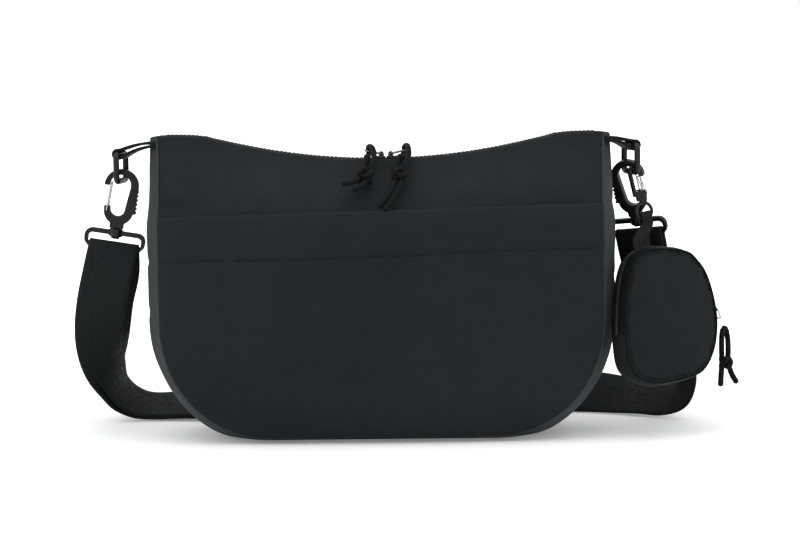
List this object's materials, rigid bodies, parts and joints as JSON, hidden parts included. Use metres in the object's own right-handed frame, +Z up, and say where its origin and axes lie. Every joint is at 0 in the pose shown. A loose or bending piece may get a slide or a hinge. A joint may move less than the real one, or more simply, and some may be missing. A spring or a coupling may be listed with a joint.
{
  "type": "trapeze bag",
  "caption": "Soft trapeze handbag with a dipped top zip, slip pocket, hooked shoulder strap and a clipped-on zip pouch.",
  "frame": {"origin": "middle of the bag body on the floor it stands on", "axes": "+Z up; the bag's width runs along X, with the pouch at +X; the front with the slip pocket faces -Y"},
  "size_m": [0.5124, 0.1603, 0.2312],
  "materials": {
    "shell_cloth": "matt padded cloth",
    "gusset_cloth": "matt padded cloth, lighter",
    "webbing": "woven webbing",
    "black_plastic": "moulded, satin",
    "bare_wire": "bright wire",
    "black_metal": "black coated",
    "pull_cord": "braided cord"
  },
  "bodies": {
    "bag": {"front_panel": "shell_cloth", "pocket_panel": "shell_cloth", "back_panel": "shell_cloth", "side_gusset": "gusset_cloth", "zip_tape_front": "shell_cloth", "zip_tape_back": "shell_cloth", "zip_coil_front": "black_plastic", "zip_coil_back": "black_plastic", "zip_end_tab_left": "shell_cloth", "zip_end_tab_right": "shell_cloth", "side_tab_left": "webbing", "side_tab_right": "webbing", "strap_webbing": "webbing", "strap_adjuster": "black_plastic"},
    "zip_slider_left": {"zip_slider_left": "black_plastic"},
    "zip_slider_right": {"zip_slider_right": "black_plastic"},
    "zip_pull_left": {"zip_bail_left": "bare_wire", "cord_pull_left": "pull_cord", "pull_knot_left": "pull_cord"},
    "zip_pull_right": {"zip_bail_right": "bare_wire", "cord_pull_right": "pull_cord", "pull_knot_right": "pull_cord"},
    "side_ring_left": {"side_ring_left": "black_plastic"},
    "side_ring_right": {"side_ring_right": "black_plastic"},
    "swivel_loop_left": {"swivel_loop_left": "black_plastic"},
    "swivel_loop_right": {"swivel_loop_right": "black_plastic"},
    "snap_hook_left": {"snap_hook_left": "black_plastic"},
    "snap_hook_right": {"snap_hook_right": "black_plastic"},
    "hook_gate_left": {"hook_gate_left": "bare_wire"},
    "hook_gate_right": {"hook_gate_right": "bare_wire"},
    "clasp_hook": {"clasp_hook": "black_plastic"},
    "clasp_gate": {"clasp_gate": "bare_wire"},
    "clasp_eye": {"clasp_eye": "black_metal"},
    "pouch": {"pouch_front": "shell_cloth", "pouch_back": "shell_cloth", "pouch_gusset": "gusset_cloth", "pouch_zip_tape_front": "shell_cloth", "pouch_zip_tape_back": "shell_cloth", "pouch_zip_coil": "black_plastic", "pouch_tab": "webbing"},
    "pouch_zip_slider": {"pouch_zip_slider": "black_plastic"},
    "pouch_pull": {"pouch_zip_bail": "bare_wire", "pouch_cord_pull": "pull_cord", "pouch_pull_knot": "pull_cord"}
  },
  "joints": [
    {"name": "zip_slider_left_travel", "type": "hinge", "parent": "bag", "child": "zip_slider_left", "pos_m": [0, 0, 0.70724], "axis": [0, 1, 0], "range_deg": [0, 13.8]},
    {"name": "zip_slider_right_travel", "type": "hinge", "parent": "bag", "child": "zip_slider_right", "pos_m": [0, 0, 0.70724], "axis": [0, 1, 0], "range_deg": [-12.8, 0]},
    {"name": "zip_pull_left_flip", "type": "hinge", "parent": "zip_slider_left", "child": "zip_pull_left", "pos_m": [0.00071, 0, 0.21545], "axis": [0, 1, 0], "range_deg": [0, 65]},
    {"name": "zip_pull_right_flip", "type": "hinge", "parent": "zip_slider_right", "child": "zip_pull_right", "pos_m": [0.00781, 0, 0.21551], "axis": [0, 1, 0], "range_deg": [-65, 0]},
    {"name": "side_ring_left_swing", "type": "hinge", "parent": "bag", "child": "side_ring_left", "pos_m": [-0.197, 0, 0.2174], "axis": [0.1392, 0.9903, 0], "range_deg": [-6, 5]},
    {"name": "side_ring_right_swing", "type": "hinge", "parent": "bag", "child": "side_ring_right", "pos_m": [0.19, 0, 0.2204], "axis": [-0.2756, 0.9613, 0], "range_deg": [-1.2, 0]},
    {"name": "swivel_loop_left_tilt", "type": "hinge", "parent": "bag", "child": "swivel_loop_left", "pos_m": [-0.20401, 0, 0.14698], "axis": [0.9877, 0, -0.1564], "range_deg": [-4, 4]},
    {"name": "swivel_loop_right_tilt", "type": "hinge", "parent": "bag", "child": "swivel_loop_right", "pos_m": [0.19892, 0.01568, 0.15176], "axis": [0.8823, -0.4592, 0.1035], "range_deg": [-1.2, 0]},
    {"name": "snap_hook_left_swivel", "type": "hinge", "parent": "swivel_loop_left", "child": "snap_hook_left", "pos_m": [-0.20237, 0, 0.15735], "axis": [0.1564, 0, 0.9877], "range_deg": [-15, 15]},
    {"name": "snap_hook_right_swivel", "type": "hinge", "parent": "swivel_loop_right", "child": "snap_hook_right", "pos_m": [0.19661, 0.0135, 0.16177], "axis": [-0.22, -0.2079, 0.9531], "range_deg": [-2, 2]},
    {"name": "hook_gate_left_press", "type": "hinge", "parent": "snap_hook_left", "child": "hook_gate_left", "pos_m": [-0.20838, 0, 0.17501], "axis": [0, 1, 0], "range_deg": [0, 20], "stiffness_Nm_per_rad": 0.02, "springref_deg": -14.32},
    {"name": "hook_gate_right_press", "type": "hinge", "parent": "snap_hook_right", "child": "hook_gate_right", "pos_m": [0.20084, 0.00647, 0.17852], "axis": [0.3694, 0.8865, 0.2787], "range_deg": [-20, 0], "stiffness_Nm_per_rad": 0.02, "springref_deg": 14.32},
    {"name": "clasp_swing", "type": "hinge", "parent": "side_ring_right", "child": "clasp_hook", "pos_m": [0.1922, -0.00769, 0.2], "axis": [-0.2756, 0.9613, 0], "range_deg": [-20, 0]},
    {"name": "clasp_gate_press", "type": "hinge", "parent": "clasp_hook", "child": "clasp_gate", "pos_m": [0.19989, -0.00727, 0.18492], "axis": [-0.2532, 0.962, -0.1022], "range_deg": [-20, 0], "stiffness_Nm_per_rad": 0.01, "springref_deg": 14.32},
    {"name": "clasp_eye_swivel", "type": "hinge", "parent": "clasp_hook", "child": "clasp_eye", "pos_m": [0.1922, -0.00769, 0.2], "axis": [-0.2276, 0.0435, 0.9728], "range_deg": [0, 20]},
    {"name": "pouch_swing", "type": "hinge", "parent": "clasp_eye", "child": "pouch", "pos_m": [0.20051, -0.00928, 0.16449], "axis": [0.9403, 0.2696, 0.2079], "range_deg": [-18, 0]},
    {"name": "pouch_zip_travel", "type": "slide", "parent": "pouch", "child": "pouch_zip_slider", "axis": [-0.1245, 0.1171, 0.9853], "range_m": [0, 0.01]},
    {"name": "pouch_pull_flip", "type": "hinge", "parent": "pouch_zip_slider", "child": "pouch_pull", "pos_m": [0.25401, -0.00618, 0.09452], "axis": [-0.3759, 0.9134, -0.1561], "range_deg": [-80, 0]}
  ]
}
